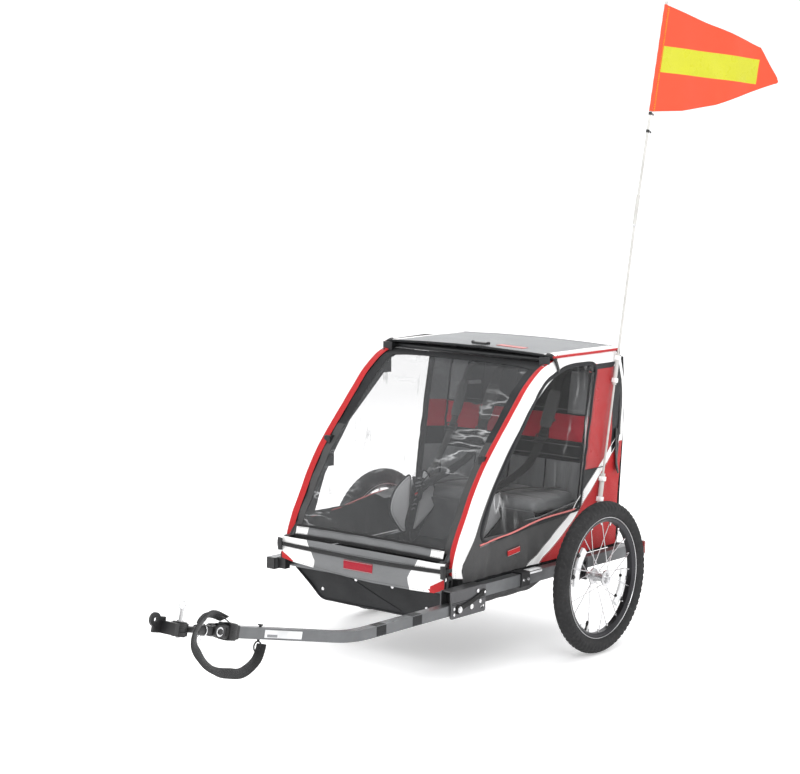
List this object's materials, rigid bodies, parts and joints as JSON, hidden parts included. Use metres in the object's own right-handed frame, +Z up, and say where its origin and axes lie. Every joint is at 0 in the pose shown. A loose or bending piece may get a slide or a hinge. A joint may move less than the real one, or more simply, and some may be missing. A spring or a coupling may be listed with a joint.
{
  "type": "child bicycle trailer",
  "caption": "Two-wheeled child bicycle trailer with folding fabric cabin, clear front cover, quick-release wheels, side tow arm with pinned hitch, and safety flag.",
  "frame": {"origin": "on the ground, under the middle of the whole trailer with its tow arm and flag", "axes": "+Z up, -Y is the direction of travel, +X is the side with the tow arm (the trailer's left)"},
  "size_m": [0.804, 2.3471, 1.6955],
  "materials": {
    "frame_grey": "satin powder coat",
    "bracket_metal": "satin",
    "steel": "bright zinc",
    "aluminium": "brushed",
    "black_plastic": "moulded",
    "rubber": "matt",
    "elastic": "woven elastic",
    "black_fabric": "coated polyester weave",
    "grey_fabric": "coated polyester weave",
    "seat_fabric": "padded polyester",
    "pad_fabric": "brushed polyester",
    "sleeve_fabric": "red and white polyester",
    "clear_vinyl": "flexible clear vinyl",
    "ivory": "smooth",
    "red_plastic": "prismatic",
    "rim_black": "gloss",
    "tyre": "matt",
    "webbing": "woven webbing",
    "flag_orange": "glossy nylon"
  },
  "bodies": {
    "root": {"rail_left": "frame_grey", "rail_right": "frame_grey", "cross_tubes": "frame_grey", "rail_fittings": "black_plastic", "axle_sockets": "black_plastic", "tow_bracket": "bracket_metal", "bracket_bolts": "steel", "retention_strap": "rubber", "floor_tub": "black_fabric", "front_flap": "grey_fabric", "flap_elastic": "elastic", "seat_base": "seat_fabric", "seat_back": "grey_fabric", "harness": "pad_fabric", "harness_buckle": "black_plastic", "rear_panel": "black_fabric", "side_panel_left": "black_fabric", "side_panel_right": "black_fabric", "side_windows": "clear_vinyl", "sleeve_left": "sleeve_fabric", "sleeve_right": "sleeve_fabric", "rail_hinges": "black_plastic", "rail_hinge_pins": "steel", "flag_holder": "ivory", "rear_reflectors": "red_plastic"},
    "left_lower": {"legs_lower_left": "aluminium", "knee_pins_left": "steel"},
    "left_upper": {"legs_upper_left": "aluminium"},
    "right_lower": {"legs_lower_right": "aluminium", "knee_pins_right": "steel"},
    "right_upper": {"legs_upper_right": "aluminium"},
    "roof": {"roof_frame": "aluminium", "roof_panel": "grey_fabric", "roof_hinge_pins": "steel", "roof_toggle": "black_plastic"},
    "cover": {"front_cover": "clear_vinyl", "cover_border": "black_fabric", "cover_elastic": "elastic"},
    "axle_l": {"axle_left": "steel"},
    "axle_r": {"axle_right": "steel"},
    "push_l": {"button_left": "black_plastic"},
    "push_r": {"button_right": "black_plastic"},
    "wheel_l": {"hub_left": "aluminium", "spokes_left": "aluminium", "rim_left": "rim_black", "tyre_left": "tyre"},
    "wheel_r": {"hub_right": "aluminium", "spokes_right": "aluminium", "rim_right": "rim_black", "tyre_right": "tyre"},
    "arm": {"tow_arm": "frame_grey", "hitch_receiver": "black_plastic", "safety_strap": "webbing"},
    "lock": {"lock_pin": "steel"},
    "coupler": {"hitch_coupler": "black_plastic"},
    "adaptor": {"axle_adaptor": "black_plastic"},
    "pin": {"hitch_pin": "steel"},
    "pole": {"pole_lower": "ivory", "pole_upper": "ivory"},
    "pennant": {"flag": "flag_orange"}
  },
  "joints": [
    {"name": "cage_fold", "type": "hinge", "parent": "root", "child": "left_lower", "pos_m": [0.262, 0.3748, 0.262], "axis": [0, -1, 0], "range_deg": [0, 84], "deforming": ["seat_base", "seat_back", "harness", "harness_buckle", "rear_panel", "side_panel_left", "side_panel_right", "side_windows", "sleeve_left", "sleeve_right", "front_cover", "cover_border", "cover_elastic"]},
    {"name": "left_knee", "type": "hinge", "parent": "left_lower", "child": "left_upper", "pos_m": [0.262, 0.3748, 0.505], "axis": [0, 1, 0], "range_deg": [0, 168]},
    {"name": "roof_level", "type": "hinge", "parent": "left_upper", "child": "roof", "pos_m": [0.262, 0.3748, 0.748], "axis": [0, -1, 0], "range_deg": [0, 84]},
    {"name": "right_base", "type": "hinge", "parent": "root", "child": "right_lower", "pos_m": [-0.262, 0.3748, 0.262], "axis": [0, 1, 0], "range_deg": [0, 84]},
    {"name": "right_knee", "type": "hinge", "parent": "right_lower", "child": "right_upper", "pos_m": [-0.262, 0.3748, 0.505], "axis": [0, -1, 0], "range_deg": [0, 168]},
    {"name": "cover_lift", "type": "hinge", "parent": "roof", "child": "cover", "pos_m": [0, 0.2688, 0.762], "axis": [-1, 0, 0], "range_deg": [0, 80]},
    {"name": "left_wheel_release", "type": "slide", "parent": "root", "child": "axle_l", "axis": [1, 0, 0], "range_m": [0, 0.085]},
    {"name": "right_wheel_release", "type": "slide", "parent": "root", "child": "axle_r", "axis": [-1, 0, 0], "range_m": [0, 0.085]},
    {"name": "left_wheel_spin", "type": "hinge", "parent": "axle_l", "child": "wheel_l", "pos_m": [0.368, 0.3748, 0.2], "axis": [1, 0, 0], "continuous": true},
    {"name": "right_wheel_spin", "type": "hinge", "parent": "axle_r", "child": "wheel_r", "pos_m": [-0.368, 0.3748, 0.2], "axis": [1, 0, 0], "continuous": true},
    {"name": "left_button_press", "type": "slide", "parent": "axle_l", "child": "push_l", "axis": [-1, 0, 0], "range_m": [0, 0.003], "stiffness_N_per_m": 800, "springref_m": -0.002},
    {"name": "right_button_press", "type": "slide", "parent": "axle_r", "child": "push_r", "axis": [1, 0, 0], "range_m": [0, 0.003], "stiffness_N_per_m": 800, "springref_m": -0.002},
    {"name": "tow_arm_fold", "type": "hinge", "parent": "root", "child": "arm", "pos_m": [0.292, -0.1132, 0.196], "axis": [1, 0, 0], "range_deg": [0, 170]},
    {"name": "lock_pin_pull", "type": "slide", "parent": "root", "child": "lock", "axis": [1, 0, 0], "range_m": [0, 0.045], "deforming": ["retention_strap"]},
    {"name": "hitch_pitch", "type": "hinge", "parent": "arm", "child": "coupler", "pos_m": [0.292, -1.0088, 0.29261], "axis": [1, 0, 0], "range_deg": [-15, 15]},
    {"name": "hitch_yaw", "type": "hinge", "parent": "coupler", "child": "adaptor", "pos_m": [0.292, -1.11542, 0.31528], "axis": [0, 0.2079, 0.9781], "range_deg": [-45, 45]},
    {"name": "hitch_pin_pull", "type": "slide", "parent": "coupler", "child": "pin", "axis": [0, 0.2079, 0.9781], "range_m": [0, 0.07]},
    {"name": "flag_pole_pull", "type": "slide", "parent": "root", "child": "pole", "axis": [0, 0.1736, 0.9848], "range_m": [0, 0.2]},
    {"name": "flag_swivel", "type": "hinge", "parent": "pole", "child": "pennant", "pos_m": [0.282, 0.63346, 1.14304], "axis": [0, 0.2079, 0.9781], "continuous": true}
  ],
  "couplings": [
    {"joint": "left_knee", "follows": "cage_fold", "ratio": 2},
    {"joint": "roof_level", "follows": "cage_fold", "ratio": 1},
    {"joint": "right_base", "follows": "cage_fold", "ratio": 1},
    {"joint": "right_knee", "follows": "cage_fold", "ratio": 2}
  ]
}
